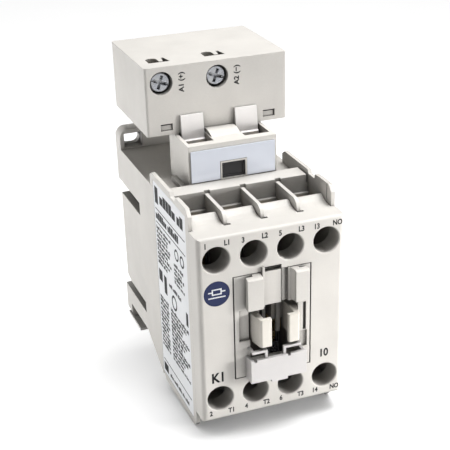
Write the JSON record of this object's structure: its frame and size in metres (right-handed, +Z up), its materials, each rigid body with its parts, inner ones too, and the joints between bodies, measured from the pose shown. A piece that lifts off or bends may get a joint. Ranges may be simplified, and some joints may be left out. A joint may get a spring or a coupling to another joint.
{
  "type": "din rail contactor",
  "caption": "Modular power contactor with auxiliary contact and plug-on coil interface module, clips on a 35 mm rail and switches a motor circuit.",
  "frame": {"origin": "on the mounting plane at the centre of the rail recess, halfway across the width", "axes": "+X across the poles, +Y back into the mounting plane, +Z up; the front face looks along -Y"},
  "size_m": [0.045, 0.085, 0.1103],
  "materials": {
    "shell": "satin, warm light grey",
    "ivory": "satin ivory",
    "white": "satin white",
    "label": "printed film",
    "badge": "printed",
    "plate": "glossy",
    "zinc": "bright zinc plating",
    "iron": "laminated silicon steel",
    "copper": "enamelled copper",
    "brass": "bright",
    "silver": "silver alloy",
    "bobbin": "moulded",
    "rubber": "moulded",
    "board": "solder mask",
    "relay": "moulded",
    "can": "sleeved can"
  },
  "bodies": {
    "housing": {"base_housing": "shell", "contact_housing": "shell", "front_cover": "shell", "front_panel": "shell", "accessory_keeper": "white", "rating_label": "label", "front_badge": "badge", "latch_spring": "zinc", "body_screws": "zinc", "magnet_core": "iron", "core_rivets": "zinc", "shading_rings": "copper", "core_pads": "rubber", "coil_bobbin": "bobbin", "coil_winding": "copper", "coil_terminal_block": "shell", "coil_block_plate": "plate", "coil_terminals": "brass", "sight_plug": "relay", "return_springs": "zinc", "fixed_contacts": "brass", "fixed_tips": "silver", "module_case": "shell", "module_floor": "shell", "plug_tabs": "ivory", "plug_blades": "brass", "module_board": "board", "module_relay": "relay", "module_capacitor": "can", "module_terminals": "brass"},
    "carrier": {"contact_carrier": "ivory", "armature": "iron", "armature_rivets": "zinc", "armature_pins": "zinc", "armature_cushion": "rubber"},
    "bridges": {"moving_contacts": "brass", "moving_tips": "silver", "contact_springs": "zinc"},
    "rail_latch": {"rail_latch": "ivory"},
    "clamp_1": {"clamp_1": "zinc"},
    "screw_1": {"screw_1": "zinc"},
    "clamp_2": {"clamp_2": "zinc"},
    "screw_2": {"screw_2": "zinc"},
    "clamp_3": {"clamp_3": "zinc"},
    "screw_3": {"screw_3": "zinc"},
    "clamp_4": {"clamp_4": "zinc"},
    "screw_4": {"screw_4": "zinc"},
    "clamp_5": {"clamp_5": "zinc"},
    "screw_5": {"screw_5": "zinc"},
    "clamp_6": {"clamp_6": "zinc"},
    "screw_6": {"screw_6": "zinc"},
    "clamp_7": {"clamp_7": "zinc"},
    "screw_7": {"screw_7": "zinc"},
    "clamp_8": {"clamp_8": "zinc"},
    "screw_8": {"screw_8": "zinc"},
    "module_clamp_a1": {"module_clamp_a1": "zinc"},
    "module_screw_a1": {"module_screw_a1": "zinc"},
    "module_clamp_a2": {"module_clamp_a2": "zinc"},
    "module_screw_a2": {"module_screw_a2": "zinc"}
  },
  "joints": [
    {"name": "armature_pull", "type": "slide", "parent": "housing", "child": "carrier", "axis": [0, 1, 0], "range_m": [0, 0.0048], "stiffness_N_per_m": 250, "springref_m": -0.002, "deforming": ["return_springs"]},
    {"name": "bridge_close", "type": "slide", "parent": "housing", "child": "bridges", "axis": [0, 1, 0], "range_m": [0, 0.0036], "deforming": ["contact_springs"]},
    {"name": "latch_slide", "type": "slide", "parent": "housing", "child": "rail_latch", "axis": [0, 0, -1], "range_m": [0, 0.003], "stiffness_N_per_m": 900, "springref_m": -0.001, "deforming": ["latch_spring"]},
    {"name": "clamp_lift_1", "type": "slide", "parent": "housing", "child": "clamp_1", "axis": [0, -1, 0], "range_m": [0, 0.003]},
    {"name": "screw_turn_1", "type": "hinge", "parent": "clamp_1", "child": "screw_1", "pos_m": [-0.01688, -0.062, 0.0234], "axis": [0, -1, 0], "range_deg": [0, 1801]},
    {"name": "clamp_lift_2", "type": "slide", "parent": "housing", "child": "clamp_2", "axis": [0, -1, 0], "range_m": [0, 0.003]},
    {"name": "screw_turn_2", "type": "hinge", "parent": "clamp_2", "child": "screw_2", "pos_m": [-0.00562, -0.062, 0.0234], "axis": [0, -1, 0], "range_deg": [0, 1801]},
    {"name": "clamp_lift_3", "type": "slide", "parent": "housing", "child": "clamp_3", "axis": [0, -1, 0], "range_m": [0, 0.003]},
    {"name": "screw_turn_3", "type": "hinge", "parent": "clamp_3", "child": "screw_3", "pos_m": [0.00562, -0.062, 0.0234], "axis": [0, -1, 0], "range_deg": [0, 1801]},
    {"name": "clamp_lift_4", "type": "slide", "parent": "housing", "child": "clamp_4", "axis": [0, -1, 0], "range_m": [0, 0.003]},
    {"name": "screw_turn_4", "type": "hinge", "parent": "clamp_4", "child": "screw_4", "pos_m": [0.01688, -0.062, 0.0234], "axis": [0, -1, 0], "range_deg": [0, 1801]},
    {"name": "clamp_lift_5", "type": "slide", "parent": "housing", "child": "clamp_5", "axis": [0, -1, 0], "range_m": [0, 0.003]},
    {"name": "screw_turn_5", "type": "hinge", "parent": "clamp_5", "child": "screw_5", "pos_m": [-0.01688, -0.062, -0.022], "axis": [0, -1, 0], "range_deg": [0, 1801]},
    {"name": "clamp_lift_6", "type": "slide", "parent": "housing", "child": "clamp_6", "axis": [0, -1, 0], "range_m": [0, 0.003]},
    {"name": "screw_turn_6", "type": "hinge", "parent": "clamp_6", "child": "screw_6", "pos_m": [-0.00562, -0.062, -0.022], "axis": [0, -1, 0], "range_deg": [0, 1801]},
    {"name": "clamp_lift_7", "type": "slide", "parent": "housing", "child": "clamp_7", "axis": [0, -1, 0], "range_m": [0, 0.003]},
    {"name": "screw_turn_7", "type": "hinge", "parent": "clamp_7", "child": "screw_7", "pos_m": [0.00562, -0.062, -0.022], "axis": [0, -1, 0], "range_deg": [0, 1801]},
    {"name": "clamp_lift_8", "type": "slide", "parent": "housing", "child": "clamp_8", "axis": [0, -1, 0], "range_m": [0, 0.003]},
    {"name": "screw_turn_8", "type": "hinge", "parent": "clamp_8", "child": "screw_8", "pos_m": [0.01688, -0.062, -0.022], "axis": [0, -1, 0], "range_deg": [0, 1801]},
    {"name": "clamp_lift_a1", "type": "slide", "parent": "housing", "child": "module_clamp_a1", "axis": [0, -1, 0], "range_m": [0, 0.0012]},
    {"name": "screw_turn_a1", "type": "hinge", "parent": "module_clamp_a1", "child": "module_screw_a1", "pos_m": [-0.0174, -0.035, 0.0626], "axis": [0, -1, 0], "range_deg": [0, 721]},
    {"name": "clamp_lift_a2", "type": "slide", "parent": "housing", "child": "module_clamp_a2", "axis": [0, -1, 0], "range_m": [0, 0.0012]},
    {"name": "screw_turn_a2", "type": "hinge", "parent": "module_clamp_a2", "child": "module_screw_a2", "pos_m": [0.0001, -0.035, 0.0626], "axis": [0, -1, 0], "range_deg": [0, 721]}
  ],
  "couplings": [
    {"joint": "bridge_close", "follows": "armature_pull", "ratio": 0.75},
    {"joint": "screw_turn_1", "follows": "clamp_lift_1", "rad_per_m": 10472},
    {"joint": "screw_turn_2", "follows": "clamp_lift_2", "rad_per_m": 10472},
    {"joint": "screw_turn_3", "follows": "clamp_lift_3", "rad_per_m": 10472},
    {"joint": "screw_turn_4", "follows": "clamp_lift_4", "rad_per_m": 10472},
    {"joint": "screw_turn_5", "follows": "clamp_lift_5", "rad_per_m": 10472},
    {"joint": "screw_turn_6", "follows": "clamp_lift_6", "rad_per_m": 10472},
    {"joint": "screw_turn_7", "follows": "clamp_lift_7", "rad_per_m": 10472},
    {"joint": "screw_turn_8", "follows": "clamp_lift_8", "rad_per_m": 10472},
    {"joint": "screw_turn_a1", "follows": "clamp_lift_a1", "rad_per_m": 10472},
    {"joint": "screw_turn_a2", "follows": "clamp_lift_a2", "rad_per_m": 10472}
  ]
}
